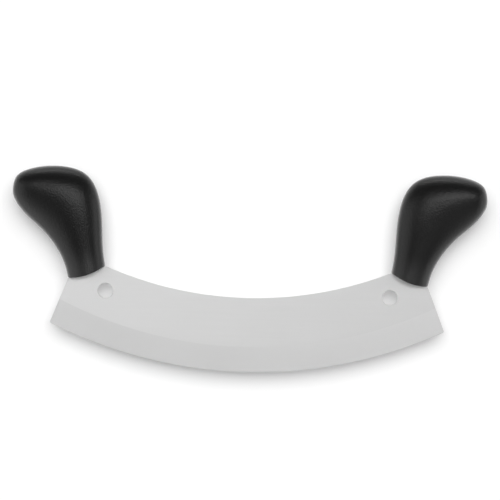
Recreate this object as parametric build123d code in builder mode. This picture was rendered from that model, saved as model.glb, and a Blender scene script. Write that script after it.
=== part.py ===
from build123d import *

# Double-handled mezzaluna in millimetres: one crescent blade carried by two upright moulded grips.
# The knife lies flat, as when it is put down: X runs along its length, Y from the cutting edge
# towards the grips, Z up through the blade's thickness. The origin is under the middle of the
# whole outline, at the height of the surface that the grips rest on.

import os
from math import radians, sqrt, tan

os.makedirs("parts", exist_ok=True)

# Blade: stamped plate with a flat grind on both faces and a sharpened edge
blade_length = 340.0
blade_width = 64.3
blade_thickness = 2.2
edge_radius = 389.2
spine_radius = 321.9
end_lean = 21.6
tip_radius = 1.5
grind_width = 22.0
behind_edge_thickness = 0.6
edge_land = 0.1
sharpening_angle = 15.0

# Hanging holes: each stands a little inside its grip's inner corner, one distance in from the spine
hang_hole_diameter = 13.1
hang_hole_offset = 0.8
hang_hole_inset = 19.3
hang_hole_chamfer = 0.2

# Tangs: they stand on the blade's corners and reach up into the cores
tang_root_width = 20.0
tang_tip_width = 15.0
tang_depth_in_core = 36.5

# Pins that hold the two halves of a core to the tang, in blind sockets under a cover of plastic
pin_diameter = 5.0
pin_cover = 2.2
pin_clearance = 0.05

# Grips: a soft skin moulded over a hard core in two halves
grip_set_in = 46.7
grip_reach = 80.8
grip_rise = 85.4
grip_thickness = 31.0
base_dome_radius = 46.5
skin_thickness = 4.0

# One overrun for every cutting shape
overrun = 5.0

# Ovals across a grip from below its base to the shoulder of its bulb, as shares of the reach, the
# rise and the thickness: inner point x and y, outer point x and y, thickness. Points are taken
# from the inner corner of the base.
oval_shares = [
    (-0.009, -0.056, 0.377, -0.178, 0.78),
    (0.025, 0.144, 0.425, -0.009, 0.79),
    (0.057, 0.550, 0.550, 0.212, 0.90),
    (0.224, 0.918, 0.714, 0.384, 0.995),
    (0.579, 0.999, 0.873, 0.518, 0.985),
    (0.819, 0.964, 0.968, 0.633, 0.86),
]
bulb_end_shares = (0.989, 0.828)
base_corner_shares = (0.391, -0.128)

# Directions of the grip's outline, in the plane of the blade: up its inner side at the base, up its
# outer side at the base, and down past the end of the bulb
inner_start_direction = (0.16, 1.0)
outer_start_direction = (0.26, 1.0)
bulb_end_direction = (0.2, -1.0)

# Height of an oval's two middle control points, as a share of its own half thickness
oval_control_share = 4 / 3

# Places of the two pins, along the tang's stretch inside the core
pin_place_shares = (0.25, 0.78)

# Inner corner of a grip's base: in from the tip, and on the spine. Heights are measured up from the
# lowest point of the edge, then moved to the middle of the outline.
half_length = blade_length / 2
grip_corner_x = half_length - grip_set_in
spine_centre_height = blade_width + spine_radius
grip_corner_height = spine_centre_height - sqrt(spine_radius**2 - grip_corner_x**2)
overall_height = grip_corner_height + grip_rise
edge_bottom_y = -overall_height / 2
edge_centre_y = edge_bottom_y + edge_radius
spine_centre_y = edge_bottom_y + spine_centre_height
grip_corner_y = edge_bottom_y + grip_corner_height
blade_middle_z = grip_thickness / 2
blade_plane = Plane.XY.offset(blade_middle_z)

# Blade outline: both ends lean inwards from the tips
tip_y = edge_centre_y - sqrt(edge_radius**2 - half_length**2)
end_slope = tan(radians(end_lean))
blank_top_y = grip_corner_y + grip_rise / 2
blank_bottom_y = edge_bottom_y - overrun
blank_top_x = half_length - (blank_top_y - tip_y) * end_slope
blank_bottom_x = half_length + (tip_y - blank_bottom_y) * end_slope

# Hanging holes, on an arc inside the spine's
hang_hole_x = grip_corner_x - hang_hole_offset
hang_hole_y = spine_centre_y - sqrt((spine_radius + hang_hole_inset) ** 2 - hang_hole_x**2)

# Grind, as radii about the centre of the edge's arc
grind_radius = edge_radius - grind_width
sharpening_slope = tan(radians(sharpening_angle))
bevel_radius = edge_radius - (behind_edge_thickness - edge_land) / 2 / sharpening_slope
meeting_radius = edge_radius + edge_land / 2 / sharpening_slope
grind_plane = Plane(origin=(0, edge_centre_y, blade_middle_z), x_dir=(0, -1, 0), z_dir=(-1, 0, 0))


def grip_point(x_share, y_share):
    """Point in the blade's plane, from its shares of the grip's reach and rise."""
    x = grip_corner_x + x_share * grip_reach
    y = grip_corner_y + y_share * grip_rise
    return Vector(x, y, blade_middle_z)


def grip_body(oval_rows, inset):
    """Body of the grip's form through the given ovals to the end of the bulb, set in all round."""
    inner_points, ridge_points, outer_points, ovals = [], [], [], []
    for inner_x, inner_y, outer_x, outer_y, thickness in oval_rows:
        inner = grip_point(inner_x, inner_y)
        outer = grip_point(outer_x, outer_y)
        across = (outer - inner).normalized()
        inner = inner + across * inset
        outer = outer - across * inset
        height = Vector(0, 0, thickness * grip_thickness / 2 - inset)
        control_height = height * oval_control_share
        inner_points.append(inner)
        outer_points.append(outer)
        ridge_points.append((inner + outer) * 0.5 + height)
        ovals.append(Bezier(inner, inner + control_height, outer + control_height, outer))
    last_middle = (inner_points[-1] + outer_points[-1]) * 0.5
    bulb_end = grip_point(*bulb_end_shares)
    bulb_end = bulb_end + (last_middle - bulb_end).normalized() * inset
    start = (inner_start_direction, outer_start_direction)
    middle_start = ((start[0][0] + start[1][0]) / 2, (start[0][1] + start[1][1]) / 2)
    end_back = (-bulb_end_direction[0], -bulb_end_direction[1])
    guides = [
        Spline(*inner_points, bulb_end, tangents=(start[0], bulb_end_direction)),
        Spline(*ridge_points, bulb_end, tangents=(middle_start, (0, 0, -1))),
        Spline(*outer_points, bulb_end, tangents=(start[1], end_back)),
    ]
    front = Face.make_gordon_surface([*ovals, bulb_end], guides)
    back = front.mirror(blade_plane)
    rim = [face.edges().sort_by_distance(bulb_end)[-1] for face in (front, back)]
    return Solid(Shell([front, back, Face(Wire(rim))]))


# Base of the grip: a shallow dome over the chord between its two corners
base_inner = grip_point(0, 0)
base_outer = grip_point(*base_corner_shares)
base_chord = base_outer - base_inner
base_middle = (base_inner + base_outer) * 0.5
base_plane = Plane(origin=base_middle, x_dir=base_chord, z_dir=(0, 0, 1))
dome_centre_height = sqrt(base_dome_radius**2 - (base_chord.length / 2) ** 2)

# Tang: from the middle of the base, past the foot of the core at the grip's second oval, and on
# towards the middle of its third
core_foot, tang_target = [
    (grip_point(*row[0:2]) + grip_point(*row[2:4])) * 0.5 for row in oval_shares[1:3]
]
tang_direction = (tang_target - core_foot).normalized()
tang_tip = core_foot + tang_direction * tang_depth_in_core
pin_places = [core_foot + tang_direction * (share * tang_depth_in_core) for share in pin_place_shares]

# Sockets end one cover short of the core's surface, where the core is thinnest
core_foot_thickness = oval_shares[1][-1] * grip_thickness - 2 * skin_thickness
socket_radius = pin_diameter / 2 + pin_clearance
socket_length = core_foot_thickness - 2 * pin_cover
pin_length = socket_length - 2 * pin_clearance

# Blade with both tangs
with BuildPart() as blade:
    with BuildSketch(blade_plane):
        with Locations((0, edge_centre_y)):
            Circle(edge_radius)
        with Locations((0, spine_centre_y)):
            Circle(spine_radius, mode=Mode.SUBTRACT)
        with BuildLine():
            Polyline(
                (-blank_bottom_x, blank_bottom_y),
                (blank_bottom_x, blank_bottom_y),
                (blank_top_x, blank_top_y),
                (-blank_top_x, blank_top_y),
                close=True,
            )
        make_face(mode=Mode.INTERSECT)
    extrude(amount=blade_thickness / 2, both=True)
    tips = blade.edges().filter_by(Axis.Z).group_by(Axis.Y)[0]
    fillet(tips, radius=tip_radius)
    with BuildSketch(blade_plane):
        with Locations((base_middle.X, base_middle.Y)):
            Circle(tang_root_width / 2)
        with Locations((tang_tip.X, tang_tip.Y)):
            Circle(tang_tip_width / 2)
        make_hull()
        mirror(about=Plane.YZ)
    extrude(amount=blade_thickness / 2, both=True)
    with BuildSketch(grind_plane):
        with BuildLine():
            Polyline(
                (0, blade_thickness / 2),
                (grind_radius, blade_thickness / 2),
                (bevel_radius, behind_edge_thickness / 2),
                (meeting_radius, 0),
                (bevel_radius, -behind_edge_thickness / 2),
                (grind_radius, -blade_thickness / 2),
                (0, -blade_thickness / 2),
                close=True,
            )
        make_face()
    revolve(axis=Axis((0, edge_centre_y, 0), (0, 0, 1)), mode=Mode.INTERSECT)
    with BuildSketch(blade_plane):
        with Locations((hang_hole_x, hang_hole_y), (-hang_hole_x, hang_hole_y)):
            Circle(hang_hole_diameter / 2)
    extrude(amount=blade_thickness, both=True, mode=Mode.SUBTRACT)
    hole_rims = blade.edges(Select.LAST).filter_by(GeomType.CIRCLE)
    chamfer(hole_rims, length=hang_hole_chamfer)
    with BuildSketch(blade_plane):
        for place in pin_places:
            with Locations((place.X, place.Y), (-place.X, place.Y)):
                Circle(socket_radius)
    extrude(amount=blade_thickness, both=True, mode=Mode.SUBTRACT)
blade.part.label = "blade"

# Core: hard inner form, from the neck to the end of the bulb, one skin in from the grip's surface
core_form = grip_body(oval_shares[1:], skin_thickness)

with BuildPart() as right_core_front:
    add(core_form)
    split(bisect_by=blade_plane, keep=Keep.TOP)
    add(blade.part, mode=Mode.SUBTRACT)
    with Locations(*pin_places):
        Cylinder(socket_radius, socket_length, mode=Mode.SUBTRACT)
right_core_front.part.label = "right_core_front"

with BuildPart() as right_core_back:
    mirror(right_core_front.part, about=blade_plane)
right_core_back.part.label = "right_core_back"

# Pins through the tang, with their ends in the sockets of the core's halves
with BuildPart() as right_tang_pins:
    with Locations(*pin_places):
        Cylinder(pin_diameter / 2, pin_length)
right_tang_pins.part.label = "right_tang_pins"

# Grip: soft skin over the core, closed round the blade at its domed base
with BuildPart() as right_grip:
    add(grip_body(oval_shares, 0))
    with BuildSketch(base_plane):
        with Locations((0, -grip_rise / 2)):
            Rectangle(grip_reach, grip_rise)
        with Locations((0, dome_centre_height)):
            Circle(base_dome_radius, mode=Mode.SUBTRACT)
    extrude(amount=grip_thickness, both=True, mode=Mode.SUBTRACT)
    add(core_form, mode=Mode.SUBTRACT)
    add(blade.part, mode=Mode.SUBTRACT)
right_grip.part.label = "right_grip"

# The left side mirrors the right
sides = [right_grip, right_core_front, right_core_back, right_tang_pins]
for right_piece in sides:
    with BuildPart() as left_piece:
        mirror(right_piece.part, about=Plane.YZ)
    left_piece.part.label = right_piece.part.label.replace("right", "left")
    export_step(left_piece.part, f"parts/{left_piece.part.label}.step")
    export_step(right_piece.part, f"parts/{right_piece.part.label}.step")
export_step(blade.part, "parts/blade.step")
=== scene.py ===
import bpy
from math import pi, radians, sqrt

import bmesh
from mathutils import Matrix, Vector


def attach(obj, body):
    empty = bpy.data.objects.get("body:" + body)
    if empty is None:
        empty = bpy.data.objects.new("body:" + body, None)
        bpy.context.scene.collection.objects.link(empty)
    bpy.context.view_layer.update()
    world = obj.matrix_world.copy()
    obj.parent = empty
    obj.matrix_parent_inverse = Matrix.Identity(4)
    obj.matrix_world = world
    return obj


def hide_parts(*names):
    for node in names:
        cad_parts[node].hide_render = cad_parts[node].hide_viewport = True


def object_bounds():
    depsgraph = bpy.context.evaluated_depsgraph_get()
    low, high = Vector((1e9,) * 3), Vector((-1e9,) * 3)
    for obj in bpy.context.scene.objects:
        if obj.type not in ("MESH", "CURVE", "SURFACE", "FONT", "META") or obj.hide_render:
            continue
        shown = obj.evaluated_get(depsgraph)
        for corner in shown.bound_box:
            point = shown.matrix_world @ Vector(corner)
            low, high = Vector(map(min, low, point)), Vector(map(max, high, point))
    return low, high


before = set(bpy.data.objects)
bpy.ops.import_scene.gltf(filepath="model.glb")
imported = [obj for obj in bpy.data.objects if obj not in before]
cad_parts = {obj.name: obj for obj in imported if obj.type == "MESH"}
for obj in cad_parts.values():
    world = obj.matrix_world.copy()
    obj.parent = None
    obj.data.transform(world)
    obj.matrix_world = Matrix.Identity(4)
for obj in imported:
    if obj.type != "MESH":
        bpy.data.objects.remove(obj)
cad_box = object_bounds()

# Blade: one crescent of stainless sheet, stamped with its two tangs, satin finished along its
# length, then ground across on both faces in a band along the cutting edge, and sharpened. Two
# hanging holes stand beside the grips.
blade_middle_z = 0.0155
edge_radius = 0.3892
grind_width = 0.022
sharpened_width = 0.001
grind_softness = 0.0002
edge_bottom_y = -0.0871251
edge_centre = Vector((0, edge_bottom_y + edge_radius, 0))


class Flow:
    """What one socket gives out. Arithmetic on it adds Math nodes to the same node tree."""

    def __init__(self, socket):
        self.socket = socket

    def node(self, kind, settings, sockets, out=0):
        """Adds a node to this flow's tree: its settings first, then what its sockets are given."""
        tree = self.socket.id_data
        made = tree.nodes.new(kind)
        for name, value in settings.items():
            setattr(made, name, value)
        for name, value in sockets.items():
            if isinstance(value, Flow):
                tree.links.new(value.socket, made.inputs[name])
            else:
                made.inputs[name].default_value = value
        return Flow(made.outputs[out])

    def math(self, operation, *values):
        return self.node("ShaderNodeMath", {"operation": operation}, dict(enumerate(values)))

    def vector_math(self, operation, *values, out=0):
        settings = {"operation": operation}
        return self.node("ShaderNodeVectorMath", settings, dict(enumerate(values)), out)

    def work(self, operation, first, second):
        """Math node on two numbers, or Vector Math where one of them is a vector."""
        values = [first, second]
        if any(isinstance(value, tuple) or getattr(value, "is_vector", False) for value in values):
            plain = (int, float)
            values = [(value,) * 3 if isinstance(value, plain) else value for value in values]
            return self.vector_math(operation, *values)
        return self.math(operation, *values)

    @property
    def is_vector(self):
        return self.socket.type == "VECTOR"

    def __add__(self, other):
        return self.work("ADD", self, other)

    def __radd__(self, other):
        return self.work("ADD", other, self)

    def __sub__(self, other):
        return self.work("SUBTRACT", self, other)

    def __rsub__(self, other):
        return self.work("SUBTRACT", other, self)

    def __mul__(self, other):
        return self.work("MULTIPLY", self, other)

    def __rmul__(self, other):
        return self.work("MULTIPLY", other, self)

    def __truediv__(self, other):
        return self.work("DIVIDE", self, other)

    def absolute(self):
        return self.math("ABSOLUTE", self)

    def length(self):
        return self.vector_math("LENGTH", self, out="Value")

    def xyz(self):
        """The three numbers of this vector."""
        outputs = self.node("ShaderNodeSeparateXYZ", {}, {"Vector": self}).socket.node.outputs
        return [Flow(outputs[axis]) for axis in "XYZ"]

    def seen(self):
        """1 for what the camera sees, also in gloss or through glass, and 0 for plain light."""
        rays = self.node("ShaderNodeLightPath", {}, {}).socket.node.outputs
        kinds = ("Is Camera Ray", "Is Glossy Ray", "Is Transmission Ray")
        camera_ray, glossy_ray, transmission_ray = [Flow(rays[kind]) for kind in kinds]
        return camera_ray + glossy_ray + transmission_ray

    def rise(self, start, end):
        """0 below start, 1 above end, and smooth between them."""
        settings = {"interpolation_type": "SMOOTHSTEP"}
        values = {"Value": self, "From Min": start, "From Max": end}
        return self.node("ShaderNodeMapRange", settings, values)

    def noise(self, stretch, detail=2.0, roughness=0.5):
        """Noise from 0 to 1 over this position, with so many grains to a metre along each axis."""
        values = {"Vector": self.vector_math("MULTIPLY", self, stretch), "Scale": 1.0}
        values |= {"Detail": detail, "Roughness": roughness}
        return self.node("ShaderNodeTexNoise", {}, values)

    def shade(self, dark, light):
        """Colour from dark to light as this goes from 0 to 1."""
        values = {"Factor": self, 6: (*dark, 1), 7: (*light, 1)}
        return self.node("ShaderNodeMix", {"data_type": "RGBA"}, values, 2)

    def bump(self, depth, under=None):
        """Normal of a surface that is raised by depth metres where this is 1."""
        values = {"Height": self, "Distance": depth}
        if under:
            values["Normal"] = under
        return self.node("ShaderNodeBump", {}, values)


def new_finish(name, fixed):
    """Gives a new material, its shader with the fixed values set, and the place on the piece."""
    material = bpy.data.materials.new(name)
    material.use_nodes = True
    shader = material.node_tree.nodes["Principled BSDF"]
    for socket, value in fixed.items():
        shader.inputs[socket].default_value = value
    place = Flow(shader.outputs[0]).node("ShaderNodeTexCoord", {}, {}, "Object")
    return material, shader, place


def feed(shader, **flows):
    """Links flows to the shader's sockets, whose names are written here with _ for a space."""
    for name, flow in flows.items():
        socket = shader.inputs[name.replace("_", " ")]
        shader.id_data.links.new(flow.socket, socket)


satin_steel, shader, place = new_finish("satin_steel", {"Metallic": 1.0})
from_centre = (place - tuple(edge_centre)) * (1, 1, 0)
radius = from_centre.length()
direction = place.vector_math("NORMALIZE", from_centre)
grind_start = edge_radius - grind_width
sharpening_start = edge_radius - sharpened_width
ground = radius.rise(grind_start - grind_softness, grind_start + grind_softness)
sharpened = radius.rise(sharpening_start - grind_softness, sharpening_start)
flat = 1 - ground

# Satin lines run along the flat, and grinding lines run across the band from the arc's centre
satin_lines = place.noise((90, 5200, 5200), 3.0)
satin_bands = place.noise((14, 420, 420), 2.0)
ground_lines = direction.noise((1500, 1500, 0), 3.0)
clouding = place.noise((26, 26, 26), 3.0, 0.6)
grain = satin_lines * flat + ground_lines * ground

# Painted shade: the flat's colour is darkened a little from the blade's left end to its right,
# standing in for light that is brighter towards the left
painted_shade_from_x, painted_shade_to_x = -0.2, 0.2
painted_shade_to_right = place.xyz()[0].rise(painted_shade_from_x, painted_shade_to_x)
dark_steel, light_steel = (0.61,) * 3, (0.745,) * 3
scratch_depth = 0.000004
steel_tone_and_painted_shade = 0.17 + 0.17 * grain + 0.17 * clouding + 0.13 * sharpened
steel_tone_and_painted_shade = steel_tone_and_painted_shade + (0.28 + 0.17 * satin_bands - 0.53 * painted_shade_to_right) * flat
feed(
    shader,
    Base_Color=steel_tone_and_painted_shade.shade(dark_steel, light_steel),
    Roughness=0.50 + 0.08 * grain + 0.06 * clouding - 0.03 * ground - 0.12 * sharpened,
    Normal=grain.bump(scratch_depth),
)
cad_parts["blade"].material_slots[0].material = satin_steel

# Tang pins: two short lengths of drawn steel rod in each grip. They pass through the tang, and
# their ends sit in blind sockets of the two core halves.
drawn_steel, shader, place = new_finish("drawn_steel", {"Metallic": 1.0})
drawn_lines = place.noise((4000, 4000, 60), 2.0)
feed(
    shader,
    Base_Color=drawn_lines.shade((0.56,) * 3, (0.64,) * 3),
    Roughness=0.3 + 0.15 * drawn_lines,
)
for side in ("left", "right"):
    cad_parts[f"{side}_tang_pins"].material_slots[0].material = drawn_steel

# Cores: in each grip a hard inner form, moulded as a front and a back half, and clamped on the tang
# before the skin is moulded over them.
core_moulding, shader, place = new_finish("core_moulding", {"Specular IOR Level": 0.5})
flow_marks = place.noise((120, 120, 120), 3.0)
feed(
    shader,
    Base_Color=flow_marks.shade((0.026,) * 3, (0.036,) * 3),
    Roughness=0.45 + 0.15 * flow_marks,
)
for side in ("left", "right"):
    for half in ("front", "back"):
        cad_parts[f"{side}_core_{half}"].material_slots[0].material = core_moulding

# Grips: black skin moulded over each core and closed round the blade at its base, with the fine
# matte grain that the mould's eroded walls leave. It is painted a little greyer towards the base:
# painted light, standing in for the light that the base's form catches.
skin_fixed = {"Specular IOR Level": 0.2, "Sheen Weight": 0.58, "Sheen Roughness": 0.45}
matte_skin, shader, place = new_finish("matte_skin", skin_fixed)
mould_grain = place.noise((2600, 2600, 2600), 2.0, 0.6)
coarse_grain = place.noise((700, 700, 700), 2.0, 0.5)
handling = place.noise((38, 38, 38), 3.0, 0.5)
fine_depth, coarse_depth = 0.00003, 0.00018
# Painted light: the skin is painted greyer towards the base, fully below the first height and not
# at all above the second
painted_light_below_y, unpainted_above_y = -0.006, 0.020
painted_base_light = 1 - place.xyz()[1].rise(painted_light_below_y, unpainted_above_y)
black, grey = (0.001,) * 3, (0.019,) * 3
grain_tone_and_painted_light = 0.08 * mould_grain + 0.08 * handling + 0.84 * painted_base_light * (0.6 + 0.4 * handling)
feed(
    shader,
    Base_Color=grain_tone_and_painted_light.shade(black, grey),
    Roughness=0.24 + 0.08 * mould_grain - 0.05 * handling,
    Normal=coarse_grain.bump(coarse_depth, mould_grain.bump(fine_depth)),
)

grip_corner = Vector((0.1233, 0.0017253, 0))
grip_reach = 0.0808
grip_rise = 0.0854
half_thickness = 0.0155
base_dome_radius = 0.0465
rim_round = 0.001
parting_height = 0.00008
parting_half_width = 0.0003

# Ovals across the grip, from below its base to the shoulder of its bulb, as shares of its reach and
# rise from the inner corner of its base: inner x and y, outer x and y, then thickness
oval_shares = [
    (-0.009, -0.056, 0.377, -0.178, 0.78),
    (0.025, 0.144, 0.425, -0.009, 0.79),
    (0.057, 0.550, 0.550, 0.212, 0.90),
    (0.224, 0.918, 0.714, 0.384, 0.995),
    (0.579, 0.999, 0.873, 0.518, 0.985),
    (0.819, 0.964, 0.968, 0.633, 0.86),
]
bulb_end_shares = (0.989, 0.828)
base_corner_shares = (0.391, -0.128)


def grip_place(x_share, y_share):
    """Place in the blade's middle plane, from its shares of the grip's reach and rise."""
    return grip_corner + Vector((x_share * grip_reach, y_share * grip_rise, 0))


def add_guide(curve, places, start, end):
    """Adds the smooth line through the places, with the pulls start and end at its two ends."""
    gaps = [(after - before).length for before, after in zip(places, places[1:])]
    slopes = [(after - before) / gap for before, after, gap in zip(places, places[1:], gaps)]
    # Each inner place's pull follows from its neighbours', so that the curve bends evenly there
    weights, sums = [0.0], [Vector(start)]
    for before, after, slope, next_slope in zip(gaps, gaps[1:], slopes, slopes[1:]):
        whole = 2 / before + 2 / after - weights[-1] / before
        target = 3 * (slope / before + next_slope / after)
        weights.append(1 / after / whole)
        sums.append((target - sums[-1] / before) / whole)
    solved = [Vector(end)]
    for weight, total in zip(weights[:0:-1], sums[:0:-1]):
        solved.insert(0, total - weight * solved[0])
    solved.insert(0, Vector(start))
    line = curve.splines.new("BEZIER")
    line.bezier_points.add(len(places) - 1)
    reaches = zip(line.bezier_points, places, solved, [gaps[0], *gaps], [*gaps, gaps[-1]])
    for point, place, pull, before, after in reaches:
        point.handle_left_type = point.handle_right_type = "FREE"
        point.co = place
        point.handle_left = place - pull * before / 3
        point.handle_right = place + pull * after / 3


guide_steps = 48
guides = bpy.data.curves.new("grip_guides", "CURVE")
guides.dimensions = "3D"
guides.resolution_u = guide_steps
inner_places = [grip_place(*row[0:2]) for row in oval_shares]
outer_places = [grip_place(*row[2:4]) for row in oval_shares]
ridge_places = [
    (inner + outer) / 2 + Vector((0, 0, row[4] * half_thickness))
    for inner, outer, row in zip(inner_places, outer_places, oval_shares)
]
bulb_end = grip_place(*bulb_end_shares)
add_guide(guides, [*inner_places, bulb_end], (0.1615, 1.0094, 0), (0.2255, -1.1276, 0))
add_guide(guides, [*ridge_places, bulb_end], (0.2061, 0.9815, 0), (0, 0, -1.5576))
add_guide(guides, [*outer_places, bulb_end], (0.2419, 0.9306, 0), (-0.3160, 1.5801, 0))
guide_lines = bpy.data.objects.new("grip_guides", guides)
bpy.context.scene.collection.objects.link(guide_lines)

base_inner = grip_place(0, 0)
base_outer = grip_place(*base_corner_shares)
base_along = (base_outer - base_inner).normalized()
base_up = Vector((-base_along.y, base_along.x, 0))
half_chord = (base_outer - base_inner).length / 2
dome_rise = sqrt(base_dome_radius**2 - half_chord**2)
dome_centre = (base_inner + base_outer) / 2 + base_up * dome_rise

# The skin's form: a grid whose rows are laid along the guides, and below them over the dome
grip_form = bpy.data.node_groups.new("grip_form", "GeometryNodeTree")
form_sizes = {
    "Guides": ("NodeSocketObject", guide_lines),
    "Stations": ("NodeSocketInt", guide_steps * len(oval_shares)),
    "First Stretch": ("NodeSocketInt", guide_steps),
    "Wall Rows": ("NodeSocketInt", 150),
    "Rim Rows": ("NodeSocketInt", 5),
    "Base Rows": ("NodeSocketInt", 16),
    "Columns": ("NodeSocketInt", 193),
    "Blade Height": ("NodeSocketFloat", blade_middle_z),
    "Dome Centre": ("NodeSocketVector", dome_centre),
    "Dome Radius": ("NodeSocketFloat", base_dome_radius),
    "Base Along": ("NodeSocketVector", base_along),
    "Base Up": ("NodeSocketVector", base_up),
    "Rim Round": ("NodeSocketFloat", rim_round),
    "Parting Height": ("NodeSocketFloat", parting_height),
    "Parting Half Width": ("NodeSocketFloat", parting_half_width),
    "Material": ("NodeSocketMaterial", matte_skin),
}
sockets = {
    name: grip_form.interface.new_socket(name, in_out="INPUT", socket_type=kind)
    for name, (kind, value) in form_sizes.items()
}
grip_form.interface.new_socket("Skin", in_out="OUTPUT", socket_type="NodeSocketGeometry")
outputs = grip_form.nodes.new("NodeGroupInput").outputs
given = {name: Flow(outputs[name]) for name in form_sizes}
any_flow = given["Columns"]
add, maths, vector_maths = any_flow.node, any_flow.math, any_flow.vector_math
guide_shape = add("GeometryNodeObjectInfo", {}, {"Object": given["Guides"]}, "Geometry")
guide_line_points = add("GeometryNodeCurveToMesh", {}, {"Curve": guide_shape})
position = add("GeometryNodeInputPosition", {}, {})

wall_rows, rim_rows, base_rows = given["Wall Rows"], given["Rim Rows"], given["Base Rows"]
grid_sizes = {
    "Vertices X": wall_rows + rim_rows + base_rows + 1,
    "Vertices Y": given["Columns"],
}
grid = add("GeometryNodeMeshGrid", {}, grid_sizes, "Mesh")
past_whole = 0.5
number = add("GeometryNodeInputIndex", {}, {}) + past_whole
row = maths("FLOOR", number / given["Columns"])
column = maths("FLOOR", number - row * given["Columns"])

# Round a section: over the front from the inner side to the outer, and back behind the blade's
# plane. The columns stand closer together towards both sides.
turn = 2 * column / (given["Columns"] - 1)
spread = 1 - (1 - turn).absolute()
side_crowding = 0.85
across = spread - side_crowding / (2 * pi) * maths("SINE", 2 * pi * spread)
face = maths("SIGN", 1 - turn)
swell = 4 * across * (1 - across)
outer_share = across * across * (3 - 2 * across)
front_or_back = add("ShaderNodeCombineXYZ", {}, {"X": 1.0, "Y": 1.0, "Z": face})


def guide_place(guide, station):
    """Place on a guide at a station, which may lie between two of its points."""
    first = maths("FLOOR", station)
    ends = []
    for step in (0, 1):
        sought = first + (guide * (given["Stations"] + 1) + step)
        settings = {"data_type": "FLOAT_VECTOR", "clamp": True}
        values = {"Geometry": guide_line_points, "Value": position, "Index": sought}
        ends.append(add("GeometryNodeSampleIndex", settings, values))
    return ends[0] + (ends[1] - ends[0]) * (station - first)


def skin_place(station):
    """Place on the skin at a station of the guides, in this vertex's column."""
    inner, ridge, outer = [guide_place(guide, station) for guide in range(3)]
    level = inner + (outer - inner) * outer_share
    return (level + (ridge - (inner + outer) * 0.5) * swell) * front_or_back


def past_dome(station):
    """How far the skin's place at a station lies outside the dome of the base."""
    out_from_centre = (skin_place(station) - given["Dome Centre"]) * (1, 1, 0)
    return out_from_centre.length() - given["Dome Radius"]


# Where the wall crosses the dome, found by three steps down the first stretch of the guides
fall = (past_dome(0.0) - past_dome(given["First Stretch"])) / given["First Stretch"]
crossing = past_dome(0.0) / fall
for again in range(2):
    crossing = crossing + past_dome(crossing) / fall
wall_start = crossing + given["Rim Round"] / fall

# Over the dome: the corner's angle and height, shrunk together towards the middle of the base
corner = skin_place(crossing)
from_dome_centre = corner - given["Dome Centre"]
along = vector_maths("DOT_PRODUCT", from_dome_centre, given["Base Along"], out="Value")
down = -1 * vector_maths("DOT_PRODUCT", from_dome_centre, given["Base Up"], out="Value")
angle = maths("ARCTAN2", along, down)
height = corner.xyz()[2]
to_middle = angle * given["Dome Radius"]
to_middle = maths("SQRT", to_middle * to_middle + height * height)
last_share = 1 - given["Rim Round"] / to_middle
base_share = last_share * maths("MINIMUM", row / base_rows, 1.0)
on_dome = given["Dome Centre"] + given["Dome Radius"] * (
    given["Base Along"] * maths("SINE", angle * base_share)
    - given["Base Up"] * maths("COSINE", angle * base_share)
)
on_dome = on_dome + add("ShaderNodeCombineXYZ", {}, {"Z": height * base_share})

# Up the wall, and round the rim between the dome and the wall
wall_share = maths("MAXIMUM", (row - base_rows - rim_rows) / wall_rows, 0.0)
on_wall = skin_place(wall_start + (given["Stations"] - wall_start) * wall_share)
rim_share = maths("MAXIMUM", (row - base_rows) / rim_rows, 0.0)
rim_share = maths("MINIMUM", rim_share, 1.0)
rim_left = 1 - rim_share
placed = on_dome * (rim_left * rim_left)
placed = placed + corner * (2 * rim_share * rim_left) + on_wall * (rim_share * rim_share)
placed = placed + add("ShaderNodeCombineXYZ", {}, {"Z": given["Blade Height"]})
skin = add("GeometryNodeSetPosition", {}, {"Geometry": grid, "Position": placed})

# Seam and poles closed, then the parting line that the mould's two halves leave round the wall
keep_wall = grip_form.nodes.new("GeometryNodeCaptureAttribute")
keep_wall.capture_items.new("FLOAT", "Wall")
for name, flow in (("Geometry", skin), ("Wall", rim_share)):
    grip_form.links.new(flow.socket, keep_wall.inputs[name])
skin, wall = [Flow(keep_wall.outputs[name]) for name in ("Geometry", "Wall")]
merge_distance = 0.000002
skin = add("GeometryNodeMergeByDistance", {}, {"Geometry": skin, "Distance": merge_distance})
off_plane = (position.xyz()[2] - given["Blade Height"]).absolute()
bead = given["Parting Height"] * wall * (1 - off_plane.rise(0.0, given["Parting Half Width"]))
raised = add("GeometryNodeInputNormal", {}, {}) * bead
skin = add("GeometryNodeSetPosition", {}, {"Geometry": skin, "Offset": raised})
skin = add("GeometryNodeSetShadeSmooth", {}, {"Geometry": skin})
skin = add("GeometryNodeRealizeInstances", {}, {"Geometry": skin})
skin = add("GeometryNodeSetMaterial", {}, {"Geometry": skin, "Material": given["Material"]})
grip_form.links.new(skin.socket, grip_form.nodes.new("NodeGroupOutput").inputs["Skin"])

moulding = bpy.data.objects.new("moulding", bpy.data.meshes.new("moulding"))
bpy.context.scene.collection.objects.link(moulding)
modifier = moulding.modifiers.new("grip_form", "NODES")
modifier.node_group = grip_form
for name, (kind, value) in form_sizes.items():
    modifier[sockets[name].identifier] = value
moulded = moulding.evaluated_get(bpy.context.evaluated_depsgraph_get())
for side, mirrored in (("right", 1), ("left", -1)):
    grip_mesh = bpy.data.meshes.new_from_object(moulded)
    grip_mesh.materials.pop(index=0)
    grip_mesh.transform(Matrix.Diagonal((mirrored, 1, 1, 1)))
    outward = bmesh.new()
    outward.from_mesh(grip_mesh)
    bmesh.ops.recalc_face_normals(outward, faces=outward.faces)
    outward.to_mesh(grip_mesh)
    outward.free()
    grip = bpy.data.objects.new(f"grip_skin_{side}", grip_mesh)
    bpy.context.scene.collection.objects.link(grip)
    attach(grip, "root")
    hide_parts(f"{side}_grip")
bpy.data.objects.remove(moulding)
bpy.data.objects.remove(guide_lines)

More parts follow.
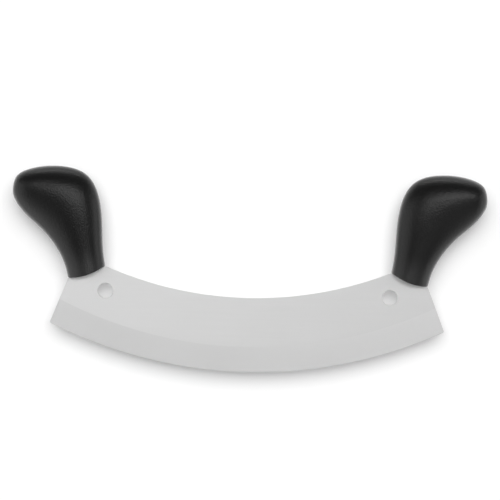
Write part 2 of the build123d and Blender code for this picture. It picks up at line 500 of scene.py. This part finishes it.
# Floor: a white table top, wide enough to fill every view. It keeps the knife's shadow. What is
# seen of it is lit up to white, the more so the farther it lies from under the lamp.
floor_half_width = 4.0
floor_gap = 0.0001
floor_z = cad_box[0].z - floor_gap
corners = [(-1, -1), (1, -1), (1, 1), (-1, 1)]
floor_mesh = bpy.data.meshes.new("floor")
floor_mesh.from_pydata(
    [(x * floor_half_width, y * floor_half_width, floor_z) for x, y in corners], [], [(0, 1, 2, 3)]
)
floor = bpy.data.objects.new("floor", floor_mesh)
bpy.context.scene.collection.objects.link(floor)
floor_fixed = {
    "Base Color": (0.8, 0.8, 0.8, 1),
    "Specular IOR Level": 0.0,
    "Emission Strength": 1.0,
}
floor_white, shader, place = new_finish("floor_white", floor_fixed)
lamp_foot = (0.0, 0.5, 0.0)
half_lit_distance = 1.1
unlit_near, unlit_gain = 0.085, 0.925
from_lamp = (place - lamp_foot).length() / half_lit_distance
cubed = from_lamp * from_lamp * from_lamp
unlit = unlit_near + unlit_gain * cubed / (cubed + 1)
feed(shader, Emission_Color=(unlit * place.seen()).shade((0,) * 3, (1,) * 3))
floor_mesh.materials.append(floor_white)

# Studio: white round the horizon, and an even plain light. Overhead, what the knife reflects is
# dim, brighter towards both sides and the near end, with a softbox a little beyond the middle,
# dark sky past it, and a bright far end low down.
surroundings = bpy.data.worlds.new("surroundings")
bpy.context.scene.world = surroundings
surroundings.use_nodes = True
backdrop = surroundings.node_tree.nodes["Background"]
backdrop.inputs["Color"].default_value = (1, 1, 1, 1)
toward = Flow(backdrop.outputs[0]).node("ShaderNodeTexCoord", {}, {})
right, away, up = toward.xyz()
left, near = -1 * right, -1 * away
middle_level, softbox_level, far_level, plain_light = 0.20, 5.5, 6.5, 0.22

softbox_right = 0.12
off_softbox = (right - softbox_right).absolute()
softbox = away.rise(0.08, 0.18) * (1 - away.rise(0.30, 0.38)) * (1 - off_softbox.rise(0.2, 0.45))
right_side = 0.46 * right.rise(-0.15, 0.15) - 0.45 * right.rise(0.3, 0.7)
right_side = right_side + 1.8 * right.rise(0.7, 0.9)
left_side = 1.6 * left.rise(0.3, 0.7)
near_end = 0.5 * near.rise(0.4, 0.7)
dim_sky = (middle_level + right_side + left_side + near_end) * (1 - away.rise(0.36, 0.44))
far_end = away.rise(0.84, 0.97) * (1 - 0.8 * up.rise(0.14, 0.24))
overhead = dim_sky + softbox_level * softbox + far_level * far_end
is_high = up.rise(0.02, 0.15)
reflected = 1 + is_high * (overhead - 1)
strength = plain_light + toward.seen() * (reflected - plain_light)
surroundings.node_tree.links.new(strength.socket, backdrop.inputs["Strength"])

# Lamp: the broad softbox above the grips that the knife's shadow comes from.
lamp = bpy.data.lights.new("lamp", "AREA")
lamp.shape = "RECTANGLE"
lamp.size, lamp.size_y = 1.7, 1.4
lamp.energy = 26.7
lamp_holder = bpy.data.objects.new("lamp", lamp)
bpy.context.scene.collection.objects.link(lamp_holder)
lamp_holder.location = (0, 0.6, 1.3)
lamp_holder.visible_glossy = False
lamp_aim = Vector((0, 0, blade_middle_z)) - lamp_holder.location
lamp_holder.rotation_euler = lamp_aim.to_track_quat("-Z", "Y").to_euler()

# Camera: straight above the knife, turned a little, as in the photograph.
camera_height = 1.0
seen_width = 0.4308
camera_turn = radians(1.45)
camera = bpy.data.cameras.new("camera")
camera.sensor_width = 36.0
camera.lens = camera.sensor_width * camera_height / seen_width
camera_holder = bpy.data.objects.new("camera", camera)
bpy.context.scene.collection.objects.link(camera_holder)
camera_holder.location = (0.00108, 0.01861, blade_middle_z + camera_height)
camera_holder.rotation_euler = (0, 0, camera_turn)
bpy.context.scene.camera = camera_holder
bpy.context.scene.view_settings.view_transform = "Standard"
